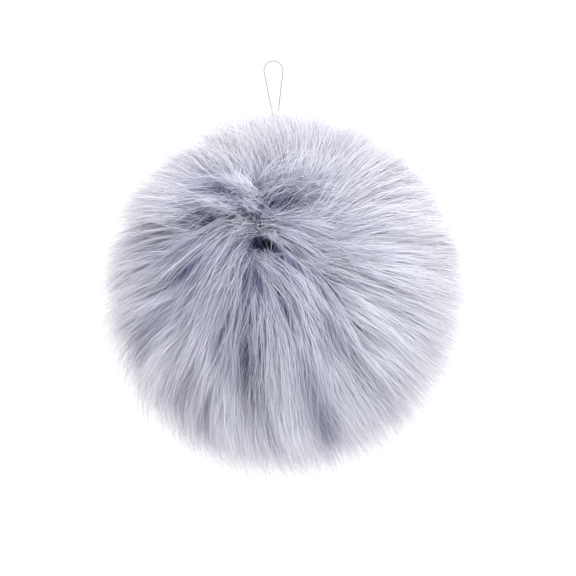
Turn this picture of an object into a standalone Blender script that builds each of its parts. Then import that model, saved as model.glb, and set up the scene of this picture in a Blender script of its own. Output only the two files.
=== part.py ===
"""A round pom pom of long-pile faux fur that hangs from a loop of fine nylon thread.

The fur ball is one solid: a backing drawn up into a ball, with a lock of pile raised from each of its
faces. The pile parts at a short seam, the crown, on the upper front, and is combed away from it on every
side. The thread is a loop whose two ends run down through the pile and stop just above the backing.

Metres, +Z up, +Y away from the front. The origin is the top of the thread's loop.
"""

import math
import random

import bmesh
import bpy
from mathutils import Matrix, Vector, noise
from mathutils.geometry import closest_point_on_tri

# Driving dimensions.
BALL_CENTRE = Vector((0.0036, 0.0, -0.0812))
BACKING_RADIUS = 0.0380
PILE_REACH = 0.0610
THREAD_DIAMETER = 0.00035

# The backing: its root points, each nudged a little, spread so that the combed pile is even at this height.
BACKING_POINTS = 152
ROOT_NUDGE = 0.0016
EVEN_HEIGHT = 0.75

# The comb: the two ends of the crown's seam, how far it turns and sways, and where it stands calm.
CROWN_TOP = Vector((-0.208, -0.687, 0.696)).normalized()
CROWN_FOOT = Vector((-0.138, -0.932, 0.335)).normalized()
CROWN_DIP = 0.14
COMB_TURN = math.radians(42.0)
COMB_CURL = 1.2
COMB_SWAY = math.radians(10.0)
SWAY_SCALE = 1.7
CALM_ANGLES = (math.radians(-4.0), math.radians(16.0))

# The locks: least and greatest length as shares of the reach, their droop, and how far a full lock and a
# slimmed one wander aside, as shares of the room over their faces.
LOCK_LENGTHS = (0.88, 1.10)
LOCK_DROOP = 0.0003
LOCK_WANDER = 0.6
SLIM_WANDER = 0.95
SEED = 35

# One lock's heights, as shares of its length, and its widths there, as shares of the face it grows from.
LOCK_RINGS = (
    {"height": 0.00, "width": 0.92},
    {"height": 0.34, "width": 0.84},
    {"height": 0.66, "width": 0.68},
    {"height": 0.90, "width": 0.44},
)

# Partings of the pile, seen from the front, from the ball's centre. Millimetres and degrees.
PARTINGS = (
    {"across": 0.0, "up": 30.0, "heading": 10.0, "length": 12.0, "opening": 2.0},
    {"across": 0.0, "up": 13.0, "heading": -35.0, "length": 12.0, "opening": 1.5},
    {"across": -11.0, "up": -19.0, "heading": 62.0, "length": 16.0, "opening": 2.5},
    {"across": 8.0, "up": -33.0, "heading": 75.0, "length": 18.0, "opening": 2.5},
)
PARTING_SPREAD = 0.009
PARTING_HEIGHT = 0.75

# The loop's route in the plane through the ball's centre, as across and up in millimetres.
LOOP_ROUTE = (
    (1.10, -43.05),
    (1.00, -38.00),
    (0.75, -31.00),
    (0.50, -24.20),
    (0.20, -20.60),
    (-1.10, -14.40),
    (-2.30, -8.40),
    (-3.15, -4.10),
    (-3.10, -2.20),
    (-1.90, -0.55),
    (0.00, 0.00),
    (1.85, -0.50),
    (3.10, -2.10),
    (3.25, -4.10),
    (2.70, -9.00),
    (2.05, -15.00),
    (1.55, -20.60),
    (1.40, -24.20),
    (1.55, -31.00),
    (1.75, -38.00),
    (1.85, -43.05),
)
ROUTE_POINTS = 80
ROUTE_FINENESS = 24

# The pile opens round the thread by this radius, over these heights. A lock that would still touch the
# thread leans another way, is slimmed to one of these shares, or is trimmed in steps.
THREAD_MIDDLE = Vector((0.0015, 0.0, 0.0))
THREAD_OPENING = 0.0025
OPENING_HEIGHTS = (-0.0445, -0.0385)
THREAD_CLEARANCE = 0.0006
LEAN_WAYS = 8
LOCK_SLIMMINGS = (1.0, 0.8, 0.6, 0.45)
LOCK_TRIM = 0.1
SHORTEST_LOCK = 0.3


def clear_scene():
    """Remove every object that the scene starts with."""
    for old in list(bpy.data.objects):
        bpy.data.objects.remove(old, do_unlink=True)


def make_material(name, colour, roughness):
    """A Principled material of one colour, with nothing metallic in it."""
    material = bpy.data.materials.new(name)
    material.use_nodes = True
    shader = material.node_tree.nodes["Principled BSDF"]
    shader.inputs["Base Color"].default_value = (*colour, 1.0)
    shader.inputs["Roughness"].default_value = roughness
    shader.inputs["Metallic"].default_value = 0.0
    material.diffuse_color = (*colour, 1.0)
    return material


# --- the thread's route -------------------------------------------------------------------------------


def curve_point(before, start, end, after, share):
    """A point between start and end on the smooth curve that passes through all four points."""
    straight = end - before
    bend = 2.0 * before - 5.0 * start + 4.0 * end - after
    twist = 3.0 * start - before - 3.0 * end + after
    return 0.5 * (2.0 * start + straight * share + bend * share ** 2 + twist * share ** 3)


def evenly_spaced(points, count):
    """Points at even distances along a line of points."""
    reached = [0.0]
    for here, there in zip(points, points[1:]):
        reached.append(reached[-1] + (there - here).length)
    even = []
    k = 0
    for i in range(count):
        wanted = reached[-1] * i / (count - 1)
        while k < len(points) - 2 and reached[k + 1] < wanted:
            k += 1
        share = (wanted - reached[k]) / (reached[k + 1] - reached[k])
        even.append(points[k].lerp(points[k + 1], share))
    return even


def loop_points():
    """The thread's centre line, from one end over the loop's top to the other."""
    route = [Vector((across / 1000.0, 0.0, up / 1000.0)) for across, up in LOOP_ROUTE]
    route = [2.0 * route[0] - route[1], *route, 2.0 * route[-1] - route[-2]]
    fine = []
    for i in range(1, len(route) - 2):
        for k in range(ROUTE_FINENESS):
            fine.append(curve_point(*route[i - 1:i + 3], k / ROUTE_FINENESS))
    fine.append(route[-2])
    return evenly_spaced(fine, ROUTE_POINTS)


# --- the pile's form ----------------------------------------------------------------------------------


def smooth_step(low, high, value):
    """0 below low, 1 above high, with a soft ramp between."""
    share = min(max((value - low) / (high - low), 0.0), 1.0)
    return share * share * (3.0 - 2.0 * share)


def seam_point(direction):
    """The point of the crown's seam that is nearest to a direction."""
    axis = CROWN_TOP.cross(CROWN_FOOT).normalized()
    span = CROWN_TOP.angle(CROWN_FOOT)
    middle = (CROWN_TOP + CROWN_FOOT).normalized()
    bearing = math.atan2(direction.dot(axis.cross(middle)), direction.dot(middle))
    run = min(max(bearing, -span / 2.0), span / 2.0)
    return Matrix.Rotation(run, 3, axis) @ middle


def comb_turn(angle, height):
    """The turn away from the seam at a height: the pile lies down by it and stands up at the far pole."""
    strength = smooth_step(*CALM_ANGLES, angle) * (1.0 - math.sin(angle / 2.0))
    return COMB_TURN * strength * height ** COMB_CURL


def combed(direction, height):
    """The place over a root direction at a height, 0 at the backing and 1 at the pile's reach."""
    seam = seam_point(direction)
    angle = seam.angle(direction)
    axis = seam.cross(direction).normalized()
    swept = Matrix.Rotation(comb_turn(angle, height), 3, axis) @ direction.normalized()
    sway = COMB_SWAY * math.sin(angle) ** 2 * noise.noise(direction * SWAY_SCALE) * height ** COMB_CURL
    swept = Matrix.Rotation(sway, 3, seam) @ swept
    dip = CROWN_DIP * (1.0 - smooth_step(0.0, CALM_ANGLES[1], angle))
    depth = (PILE_REACH - BACKING_RADIUS) * (1.0 - dip)
    place = BALL_CENTRE + swept * (BACKING_RADIUS + depth * height)
    place.z -= LOCK_DROOP * height ** 2
    return place


def uncombed(direction, height):
    """The root direction from which the comb brings the pile to this direction at a height."""
    seam = seam_point(direction)
    wanted = seam.angle(direction)
    low = 0.0
    high = math.pi
    while high - low > 1e-6:
        middle = (low + high) / 2.0
        if middle + comb_turn(middle, height) < wanted:
            low = middle
        else:
            high = middle
    return Matrix.Rotation(low, 3, seam.cross(direction).normalized()) @ seam


def parting_push(place):
    """How far the partings push aside the tip of a lock that passes this place."""
    push = Vector((0.0, 0.0, 0.0))
    if place.y > BALL_CENTRE.y:
        return push
    for parting in PARTINGS:
        heading = math.radians(parting["heading"])
        along = Vector((math.cos(heading), 0.0, math.sin(heading)))
        aside = Vector((-along.z, 0.0, along.x))
        offset = place - BALL_CENTRE - Vector((parting["across"], 0.0, parting["up"])) / 1000.0
        run = offset.dot(along) * 1000.0 / parting["length"]
        gap = offset.dot(aside)
        strength = math.exp(-run ** 2 - (gap / PARTING_SPREAD) ** 2)
        push += aside * math.copysign(parting["opening"] / 1000.0 * strength, gap)
    return push


def opened(place):
    """The place, moved aside where the pile opens round the thread."""
    aside = place - THREAD_MIDDLE
    aside.z = 0.0
    opening = THREAD_OPENING * smooth_step(*OPENING_HEIGHTS, place.z)
    return place + aside * (math.hypot(aside.length, opening) / aside.length - 1.0)


def lock_form(corners, length, bearing, slimming):
    """The rings and the tip of a lock over a face, from its corners' directions."""
    middle = sum(corners, Vector()) / len(corners)
    arms = [corner - middle for corner in corners]
    room = min(a.cross(b).length / (b - a).length for a, b in zip(arms, arms[1:] + arms[:1]))
    level = (corners[1] - corners[0]).normalized()
    wander = level * math.cos(bearing) + middle.normalized().cross(level) * math.sin(bearing)
    reach = room * (LOCK_WANDER if slimming == 1.0 else SLIM_WANDER)
    push = parting_push(combed(middle, PARTING_HEIGHT * length))
    rings = []
    for row in LOCK_RINGS:
        height = row["height"] * length
        width = row["width"] * slimming
        shift = wander * (reach * (1.0 - width))
        ring = [combed(middle + shift + arm * width, height) for arm in arms]
        rings.append([opened(corner + push * height ** 2) for corner in ring])
    tip = opened(combed(middle + wander * reach, length) + push * length ** 2)
    return rings, tip


def gap_to_thread(rings, tip, thread):
    """The least distance from a lock's sides to the thread's centre line."""
    levels = [*rings, [tip] * len(rings[0])]
    gap = math.inf
    for lower, upper in zip(levels, levels[1:]):
        for a, b, c, d in zip(lower, lower[1:] + lower[:1], upper, upper[1:] + upper[:1]):
            for point in thread:
                for side in ((a, b, c), (b, d, c)):
                    gap = min(gap, (closest_point_on_tri(point, *side) - point).length)
    return gap


def clear_lock(corners, length, bearing, thread):
    """The rings and the tip of the longest, and then the widest, lock that clears the thread."""
    while length > SHORTEST_LOCK:
        for slimming in LOCK_SLIMMINGS:
            for way in range(LEAN_WAYS):
                rings, tip = lock_form(corners, length, bearing + math.tau * way / LEAN_WAYS, slimming)
                if gap_to_thread(rings, tip, thread) > THREAD_CLEARANCE:
                    return rings, tip
        length -= LOCK_TRIM
    return None


# --- the pieces ---------------------------------------------------------------------------------------


def backing_directions():
    """Directions of the backing's root points: golden-angle points, nudged and taken back to their roots."""
    spread = random.Random(SEED)
    golden_angle = math.pi * (3.0 - math.sqrt(5.0))
    directions = []
    for i in range(BACKING_POINTS):
        side = 1.0 - (2.0 * i + 1.0) / BACKING_POINTS
        out = math.sqrt(1.0 - side * side)
        point = Vector((out * math.cos(golden_angle * i), side, out * math.sin(golden_angle * i)))
        nudge = Vector((spread.uniform(-1, 1), spread.uniform(-1, 1), spread.uniform(-1, 1)))
        directions.append(uncombed(point + nudge * (ROOT_NUDGE / BACKING_RADIUS), EVEN_HEIGHT))
    return directions


def raise_lock(mesh, face, rings, tip):
    """Draw a face out through the rings to a point."""
    for ring in rings:
        face = bmesh.ops.extrude_discrete_faces(mesh, faces=[face])["faces"][0]
        for vertex, place in zip(face.verts, ring):
            vertex.co = place
    poked = bmesh.ops.poke(mesh, faces=[face])
    poked["verts"][0].co = tip


def make_fur_ball(collection):
    """The backing ball, with a lock of pile raised from each face, trimmed clear of the thread."""
    mesh = bmesh.new()
    for direction in backing_directions():
        mesh.verts.new(BALL_CENTRE + direction * BACKING_RADIUS)
    bmesh.ops.convex_hull(mesh, input=mesh.verts)
    bmesh.ops.recalc_face_normals(mesh, faces=mesh.faces)
    thread = loop_points()
    growth = random.Random(SEED + 1)
    for face in list(mesh.faces):
        length = growth.uniform(*LOCK_LENGTHS)
        bearing = growth.uniform(0.0, math.tau)
        corners = [(vertex.co - BALL_CENTRE).normalized() for vertex in face.verts]
        lock = clear_lock(corners, length, bearing, thread)
        if lock:
            raise_lock(mesh, face, *lock)
    shape = bpy.data.meshes.new("fur_ball")
    mesh.to_mesh(shape)
    mesh.free()
    shape.shade_smooth()
    shape.set_sharp_from_angle(angle=math.radians(50.0))
    shape.materials.append(make_material("lavender_grey_fur", (0.43, 0.43, 0.54), 0.85))
    ball = bpy.data.objects.new("fur_ball", shape)
    collection.objects.link(ball)


def make_hanging_thread(collection):
    """The nylon loop, a round tube along its smooth route."""
    curve = bpy.data.curves.new("hanging_thread", "CURVE")
    curve.dimensions = "3D"
    curve.bevel_depth = THREAD_DIAMETER / 2.0
    curve.bevel_resolution = 2
    curve.use_fill_caps = True
    points = loop_points()
    spline = curve.splines.new("POLY")
    spline.points.add(len(points) - 1)
    for knot, place in zip(spline.points, points):
        knot.co = (*place, 1.0)
    curve.materials.append(make_material("clear_nylon", (0.66, 0.66, 0.70), 0.25))
    thread = bpy.data.objects.new("hanging_thread", curve)
    collection.objects.link(thread)


def main():
    """Build the pom pom's two pieces in a collection of their own."""
    clear_scene()
    collection = bpy.data.collections.new("pom_pom")
    bpy.context.scene.collection.children.link(collection)
    make_fur_ball(collection)
    make_hanging_thread(collection)


main()
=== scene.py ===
"""The looks of a faux-fur pom pom on a thread loop, laid out as an add-on and run as a script.

The pile is combed away from a crown on the upper front. Its fibres gather into locks and its locks into
tufts; each fibre is a thin tapered blade, and the blades of one side of the ball are joined in one mesh.
Metres, +Z up, +Y away from the front. The origin is the top of the thread's loop.
"""

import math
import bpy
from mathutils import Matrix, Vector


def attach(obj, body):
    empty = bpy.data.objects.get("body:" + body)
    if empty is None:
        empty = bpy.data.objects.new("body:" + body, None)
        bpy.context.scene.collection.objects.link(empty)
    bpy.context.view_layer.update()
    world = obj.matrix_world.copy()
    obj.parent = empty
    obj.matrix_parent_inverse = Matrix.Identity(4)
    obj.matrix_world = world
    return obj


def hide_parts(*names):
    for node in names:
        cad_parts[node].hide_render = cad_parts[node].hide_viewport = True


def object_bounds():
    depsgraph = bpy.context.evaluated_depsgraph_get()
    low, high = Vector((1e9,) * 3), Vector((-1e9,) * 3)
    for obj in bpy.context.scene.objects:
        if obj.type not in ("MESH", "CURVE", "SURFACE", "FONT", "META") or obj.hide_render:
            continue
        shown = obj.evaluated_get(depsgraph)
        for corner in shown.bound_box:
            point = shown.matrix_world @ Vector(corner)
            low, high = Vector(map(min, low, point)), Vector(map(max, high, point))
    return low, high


bl_info = {
    "name": "Faux-Fur Pom Pom",
    "version": (1, 0, 0),
    "blender": (4, 5, 0),
    "location": "3D View > Sidebar > Pom Pom",
    "description": "Combed pile, underfur, hanging thread and a plain stage for a faux-fur pom pom",
    "category": "Object",
}

from collections import namedtuple

import bpy
import numpy as np
from bpy.props import FloatProperty, FloatVectorProperty, IntProperty, PointerProperty
from mathutils import Vector

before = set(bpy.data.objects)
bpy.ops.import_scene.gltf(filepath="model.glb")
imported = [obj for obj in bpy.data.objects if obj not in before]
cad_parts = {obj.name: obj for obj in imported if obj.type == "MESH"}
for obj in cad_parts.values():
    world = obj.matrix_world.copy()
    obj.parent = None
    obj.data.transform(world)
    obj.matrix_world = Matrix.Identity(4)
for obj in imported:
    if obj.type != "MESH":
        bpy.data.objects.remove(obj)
CAD_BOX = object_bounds()

BODY = "root"

# Millimetres in a metre, for the tables that are in millimetres.
MILLIMETRES = 1000.0

# Two lengths that keep a divisor from being nothing, and how steep a direction may be before another helper
# is taken to find the two directions beside it.
LEAST_AWAY = 1e-9
LEAST_RISE = 0.001
STEEP = 0.9

# The ball: its centre, and how far the backing and the pile reach out from it.
BALL_CENTRE = np.array((0.0036, 0.0, -0.0812))
BACKING_RADIUS = 0.0380
PILE_REACH = 0.0610

# The comb works away from the crown, a short seam between two ends; the upper one lies a little lower than
# on the frame's solids. Over which angles from the seam the comb sets in, how its turn grows with a fibre's
# height (a power), at which height the combed pile is spread evenly and in how many steps the roots for that
# are found, by what share the pile is shorter at the seam, and how far its tips droop.
CROWN_TOP = np.array((-0.165, -0.775, 0.610))
CROWN_FOOT = np.array((-0.138, -0.932, 0.335))
CALM_ANGLES = (math.radians(-4.0), math.radians(16.0))
COMB_CURL = 1.2
EVEN_HEIGHT = 0.75
UNCOMB_STEPS = 24
CROWN_DIP = 0.14
DROOP = 0.0003

# The seeds of the random draws.
PILE_SEED = 7
LAID_SEED = 23
WISP_SEED = 31
GAP_SEED = 57

# Above the crown the pile that would lie to the right sweeps up: by how much, over which rises of its heading
# it sets in and fades again, how far to the right the heading has to be, and up to which angle of the roots
# from the seam it does so.
UPSWEEP = math.radians(34.0)
UPSWEEP_RISES = (-0.05, 0.30)
UPSWEEP_FADES = (0.75, 1.0)
UPSWEEP_RIGHTS = (0.0, 0.3)
UPSWEEP_ANGLES = (math.radians(7.0), math.radians(24.0))

# Partings where the roots show, from the front and from the ball's centre, in millimetres and degrees. The
# depth is the share of its length that the pile loses there, and the share of its paleness that it loses there
# as a painted shade, and the push is how far the pile beside the parting is pushed aside.
Parting = namedtuple("Parting", "across up heading length width depth push")
PARTINGS = (
    Parting(-0.8, 30.6, 12.0, 7.8, 4.2, 0.80, 1.6),
    Parting(-19.3, 34.2, -25.0, 5.2, 2.8, 0.70, 1.2),
    Parting(-25.2, 24.9, 33.0, 6.5, 2.8, 0.50, 1.2),
    Parting(-17.3, 30.0, -27.0, 3.5, 1.0, 0.45, 0.6),
    Parting(-9.3, 25.2, -85.0, 3.0, 1.0, 0.14, 0.6),
    Parting(-8.6, 16.3, -10.0, 3.9, 2.1, 0.90, 1.4),
    Parting(-3.0, 14.9, -40.0, 3.4, 1.8, 0.84, 1.4),
    Parting(2.9, 10.4, -36.0, 5.4, 1.0, 0.76, 1.2),
    Parting(12.7, 1.5, -50.0, 4.5, 1.6, 0.35, 1.2),
    Parting(-11.3, 13.0, -85.0, 2.2, 0.8, 0.55, 0.6),
    Parting(-12.4, 3.9, -90.0, 6.5, 1.1, 0.72, 1.0),
    Parting(-8.2, 3.9, -50.0, 3.8, 1.8, 0.90, 1.0),
    Parting(0.1, -3.7, -68.0, 5.5, 1.2, 0.68, 1.2),
    Parting(-19.7, -12.1, 70.0, 6.0, 1.1, 0.32, 1.0),
    Parting(-11.0, -10.7, -85.0, 3.0, 1.0, 0.35, 0.8),
    Parting(-12.7, -19.4, -88.0, 8.5, 3.0, 0.60, 2.2),
    Parting(-8.5, -32.0, -75.0, 7.5, 3.0, 0.08, 1.6),
    Parting(11.8, -38.5, -68.0, 11.0, 3.4, 0.36, 1.4),
    Parting(15.8, -11.5, -58.0, 8.0, 2.4, 0.30, 1.0),
    Parting(-32.2, 7.4, 40.0, 6.8, 2.2, 0.80, 1.2),
    Parting(-44.0, -11.7, 55.0, 10.0, 4.5, 0.20, 1.5),
    Parting(-33.5, -33.0, 68.0, 8.0, 3.2, 0.16, 1.5),
    Parting(-27.0, -42.7, 75.0, 5.0, 1.8, 0.18, 1.0),
)

# Small gaps that run with the comb on the front, in millimetres and degrees as the partings: the crown's spot,
# how many there are, how far they lie from that spot and in which directions, how long, wide and deep they
# are, their depth also darkening the pile there as a painted shade, how much they turn from their direction,
# and their push.
CROWN_SPOT = (-8.5, 22.0)
GAPS = 46
GAP_DISTANCES = (7.0, 44.0)
GAP_HEADINGS = (176.0, 345.0)
GAP_LENGTHS = (1.6, 4.2)
GAP_WIDTHS = (0.5, 1.1)
GAP_DEPTHS = (0.25, 0.62)
GAP_TURN = 6.0
GAP_PUSH = 0.5

# How many times a parting's own size its push reaches in the combed pile and in the laid tufts, how much of
# the push the laid tufts take, the height of the combed pile that meets it, what share of its paleness the
# pile loses in a parting as a painted shade, in how many steps each stretch of a fibre is tried against the
# partings, and the first ring that counts for how much shorter the fibre grows.
PUSH_SPREAD = 2.2
LAID_PUSH_SPREAD = 1.3
LAID_PUSH_SHARE = 0.6
PUSH_HEIGHT = 0.75
PAINTED_PARTING_SHADE = 0.90
DEPTH_STEPS = 4
FIRST_CUT_RING = 3

# The tufts that the comb has laid over the front of the ball, each a fan of locks. Millimetres from the
# ball's centre, seen from the front: where the locks leave the pile and where they end, how far the fan
# opens at its two ends, how far it bows to the left of its way, how far it stands over the pile and how deep
# its roots lie. The tone is added to the middle one, and start is the shade at the roots.
LaidTuft = namedtuple("LaidTuft", "leaves ends opens bow rise root tone start locks")
LAID_TUFTS = (
    LaidTuft((-5.6, 10.6), (-3.5, -25.0), (1.5, 4.0), 1.0, 0.6, 5.0, 0.10, 0.58, 9),
    LaidTuft((-4.0, 11.0), (3.0, -36.0), (2.0, 5.5), 2.5, 1.4, 5.0, 0.14, 0.58, 15),
    LaidTuft((-1.0, 10.6), (9.5, -40.0), (2.0, 5.5), 4.0, 1.8, 5.0, 0.16, 0.58, 17),
    LaidTuft((3.0, 10.6), (15.5, -33.0), (2.0, 5.0), 4.5, 1.6, 5.0, 0.06, 0.54, 14),
    LaidTuft((6.0, 8.0), (21.0, -26.0), (1.5, 5.0), 3.5, 0.8, 5.0, 0.08, 0.58, 9),
    LaidTuft((-6.6, 11.2), (16.0, -16.0), (1.4, 4.5), 8.0, 2.0, 5.0, 0.07, 0.62, 16),
    LaidTuft((-7.4, 10.6), (10.0, -26.0), (1.2, 4.0), 7.0, 2.6, 5.0, 0.10, 0.64, 16),
    LaidTuft((-4.0, 11.2), (12.5, -12.0), (3.4, 5.5), 5.5, 3.0, 4.0, 0.16, 0.66, 16),
    LaidTuft((-8.2, 9.8), (4.0, -34.0), (1.2, 4.5), 5.0, 2.0, 5.0, 0.13, 0.52, 12),
    LaidTuft((-14.0, 27.0), (-45.0, 4.0), (1.6, 4.5), -2.0, 0.4, 14.0, 0.10, 0.42, 11),
    LaidTuft((-12.5, 24.0), (-38.5, -12.0), (2.0, 5.0), -3.0, 0.8, 14.0, 0.14, 0.42, 14),
    LaidTuft((-11.0, 20.5), (-31.0, -21.5), (2.0, 5.0), -3.0, 1.2, 14.0, 0.14, 0.42, 15),
    LaidTuft((-10.5, 16.5), (-24.5, -27.0), (2.0, 4.5), -2.5, 1.2, 14.0, 0.14, 0.42, 14),
    LaidTuft((-9.5, 12.5), (-18.0, -23.0), (1.6, 4.0), -1.5, 1.0, 14.0, 0.12, 0.42, 12),
    LaidTuft((-8.5, 9.0), (-12.5, -20.0), (1.4, 2.6), -0.8, 0.6, 14.0, 0.10, 0.42, 8),
    LaidTuft((-14.0, 34.0), (-44.0, 32.0), (2.5, 7.0), -1.0, 0.4, 14.0, 0.20, 0.42, 16),
    LaidTuft((-10.2, 32.4), (-18.0, 36.6), (1.3, 2.6), 0.8, 1.8, 4.0, 0.36, 0.74, 12),
    LaidTuft((-8.0, 27.8), (-14.5, 30.8), (0.8, 1.4), 0.6, 1.0, 6.0, 0.26, 0.58, 4),
    LaidTuft((-15.0, 30.0), (-24.0, 30.5), (1.0, 1.8), 0.8, 2.2, 6.0, 0.36, 0.68, 9),
    LaidTuft((-7.5, 26.5), (2.5, 30.0), (0.5, 1.6), -0.8, 0.6, 14.0, 0.10, 0.55, 2),
    LaidTuft((-5.5, 23.5), (17.0, 18.5), (1.2, 5.0), 2.0, 1.0, 14.0, 0.08, 0.40, 9),
    LaidTuft((-4.5, 21.5), (20.5, 8.5), (1.2, 5.0), 2.5, 0.8, 14.0, 0.08, 0.40, 9),
    LaidTuft((-4.4, 19.6), (-0.4, 15.4), (0.8, 1.4), 0.6, 0.6, 14.0, 0.10, 0.52, 2),
)

# The locks and fibres of the laid tufts: how many fibres a lock has, how far the locks' roots and tips are
# scattered, the lengths of locks and of fibres as a mean and a spread and as the least and the most, how wide
# a lock is and by what share it draws together, how far its tips spread, its middle swells and its fibres
# crimp, how many times further the strays spread, how the roots dive (a power), how far the locks lie under
# the pile's reach, over what share of a half turn they arch, how far their tone varies, and the shade of
# their tips.
LAID_FIBRES_A_LOCK = 26
LAID_ROOT_SCATTER = 0.0014
LAID_TIP_SCATTER = 0.0022
LAID_LOCK_LENGTH = (0.92, 0.18)
LAID_LOCK_LENGTHS = (0.5, 1.25)
LAID_FIBRE_LENGTH = (0.96, 0.09)
LAID_FIBRE_LENGTHS = (0.6, 1.15)
LAID_LOCK_WIDTH = 0.0011
LAID_LOCK_GATHER = 0.7
LAID_TIP_SPREAD = 0.0014
LAID_BELLY = 0.0007
LAID_CRIMP = 0.00026
LAID_STRAY_LEAN = 3.0
LAID_DIVE = 7.0
LAID_SINK = 0.0015
LAID_ARCH = 0.8
LAID_TONE_SPREAD = 0.20
LAID_PALEST = 0.745

# The loose wisps: a short tangle in the seam, and long single hairs that lie across the comb round it. Each
# row says how many, how far from the seam they root and how high, how long they are, how far they turn, how
# steeply they rise and their shade at the root. Below: which stretch of the seam they root along, how much
# their rises differ, how much of the rise they lose again, how they bend, how wide they are as shares of a
# fibre, their tone as a mean and a spread with the least and the most, how deep in a parting they still grow,
# and how much a parting darkens them as a painted shade.
WISPS = (
    {"count": 2000, "spread": 7.0, "roots": (0.0480, 0.0560), "lengths": (0.005, 0.013),
     "turn": 60.0, "rise": 0.8, "start": 0.42},
    {"count": 1600, "spread": 15.0, "roots": (0.0565, 0.0600), "lengths": (0.008, 0.018),
     "turn": 25.0, "rise": 0.10, "start": 0.55},
)
WISP_RUNS = (-0.1, 1.2)
WISP_RISES = (0.15, 1.1)
WISP_FALL = 0.55
WISP_BEND = 0.25
WISP_WIDTHS = (0.5, 0.9)
WISP_TONE = (0.55, 0.2)
WISP_TONES = (0.03, 0.97)
WISP_DEPTHS = (0.05, 0.80)
WISP_PAINTED_PARTING_SHADE = 0.7

# The sides of the ball, each of which is one mesh of joined blades, rooted where the ball faces that way.
SIDES = (
    {"name": "pile_front", "facing": (0, -1, 0)},
    {"name": "pile_front_top", "facing": (0, -0.71, 0.71)},
    {"name": "pile_back", "facing": (0, 1, 0)},
    {"name": "pile_left", "facing": (-1, 0, 0)},
    {"name": "pile_right", "facing": (1, 0, 0)},
    {"name": "pile_top", "facing": (0, 0, 1)},
    {"name": "pile_underside", "facing": (0, 0, -1)},
)

# How far along a fibre its rings lie, and how wide the blade is there, as shares. A laid fibre has more, so
# that it can bend out of the pile.
BLADE_RINGS = (
    {"along": 0.00, "width": 0.90},
    {"along": 0.35, "width": 1.00},
    {"along": 0.63, "width": 0.80},
    {"along": 0.85, "width": 0.45},
    {"along": 1.00, "width": 0.00},
)

LAID_RINGS = (
    {"along": 0.00, "width": 0.70},
    {"along": 0.07, "width": 0.90},
    {"along": 0.16, "width": 1.00},
    {"along": 0.30, "width": 1.00},
    {"along": 0.50, "width": 0.95},
    {"along": 0.70, "width": 0.75},
    {"along": 0.87, "width": 0.45},
    {"along": 1.00, "width": 0.00},
)

# How the tufts and the locks differ among themselves: how unevenly they are spread, by how much of their
# length they fall short or go beyond it, how far their tips lean out of place, how far the comb turns them as
# a share of its turn, and how far their tone varies.
TUFT_KIND = {"nudge": 0.03, "lengths": (-0.14, 0.09), "lean": 0.0026, "turns": (0.88, 1.10), "tone": 0.10}
LOCK_KIND = {"nudge": 0.012, "lengths": (-0.24, 0.13), "lean": 0.0030, "turns": (0.86, 1.12), "tone": 0.14}

# The fibres: how far they root round their lock as a share of the locks' spacing, how high their roots lie
# as a share of the pile, how their lengths spread near the seam with the least and the most, how far they
# lean, crimp and roll (radians), how wide they are as shares of the set width, and how far their tone varies.
ROOT_SPREAD = 0.62
ROOT_HEIGHT = 0.06
NEAR_SPREAD = 0.12
NEAR_LENGTHS = (0.55, 1.45)
FIBRE_LEAN = 0.0020
CRIMP = 0.00019
ROLL = 0.7
FIBRE_WIDTHS = (0.7, 1.2)
FIBRE_TONE_SPREAD = 0.20

# Some fibres are guard hairs: how many, how much longer and, far from the seam, how much finer. Some stray:
# how many, how much longer, how many times further they lean, and how little they gather. How far the locks
# and the tufts draw together at their tips, and how late along a fibre the tufts' and the locks' drawing
# together, the leaning and the laid tips' spreading set in (powers). Last, how far from the ball's centre
# the tips may stand.
GUARD_SHARE = 0.25
GUARD_LENGTHS = (1.06, 1.46)
GUARD_FINENESS = 0.4
STRAY_SHARE = 0.08
STRAY_LENGTH = 1.06
STRAY_LEAN = 3.5
STRAY_GATHER = 0.1
LOCK_GATHERS = (0.35, 0.90)
TUFT_GATHER = 0.50
TUFT_CURVE = 2
LOCK_CURVE = 1.2
LEAN_CURVE = 1.4
TIP_CURVE = 1.5
MOST_REACH = (0.0630, 0.0705)

# The pile sways in slow waves: how many, how fast they change over the ball, and how much they differ in that.
SWAY_WAVES = 6
SWAY_SCALE = 1.7
SWAY_SCALES = (0.7, 1.4)

# The side on which the pile is longest and by how much, and the calm side, where it lies most evenly, with
# how much wider and flatter in shade its fibres are there. The pairs are how squarely the ball faces the side
# where that sets in and where it is full.
FULL_SIDE = (0.35, 0.0, 0.94)
FULL_FACING = (0.0, 0.95)
FULLNESS = 0.28
CALM_SIDE = (0.82, 0.10, 0.56)
CALM_FACING = (0.1, 0.9)
CALM_WIDTH = 0.3
CALM_FLATNESS = 0.24

# The angles from the seam over which the pile's leaning and its crimp ease and its tufts fall loose, and by
# how much more it leans at the seam.
LEAN_ANGLES = (0.1, 0.5)
FRIZZ_ANGLES = (math.radians(25.0), math.radians(75.0))
LOOSE_ANGLES = (math.radians(38.0), math.radians(85.0))
LEAN_FRIZZ = 0.8

# By what share each unevenness is eased far from the seam, and on the calm side.
FAR_EASE = {"tuft_length": 0.85, "lock_length": 0.6, "lean": 0.6, "lock_gather": 0.35, "tuft_gather": 0.7}
CALM_EASE = {"lean": 0.5, "lock_gather": 0.8, "tuft_gather": 0.9, "roll": 0.8}

# Far from the seam the fibres are of very mixed lengths, most of them short: the shortest, how the rest
# trail off, and how little their length then tells in their shade.
FAR_SHORTEST = 0.57
FAR_TRAIL = 0.265
FAR_SHADE = 0.7

# The sides on which the pile is painted paler, a painted light falling from above and from the right, and the
# angles of roots and of tips from the seam over which the pile pales.
PAINTED_LIGHT_SIDES = (
    {"facing": (0.12, -0.22, 0.97), "from": 0.50, "to": 0.88, "by": 0.44},
    {"facing": (0.99, 0.00, 0.10), "from": 0.40, "to": 0.95, "by": 0.62},
)
PALE_ANGLES = (math.radians(35.0), math.radians(80.0))
OUTWARD_ANGLES = (math.radians(26.0), math.radians(68.0))
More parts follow.
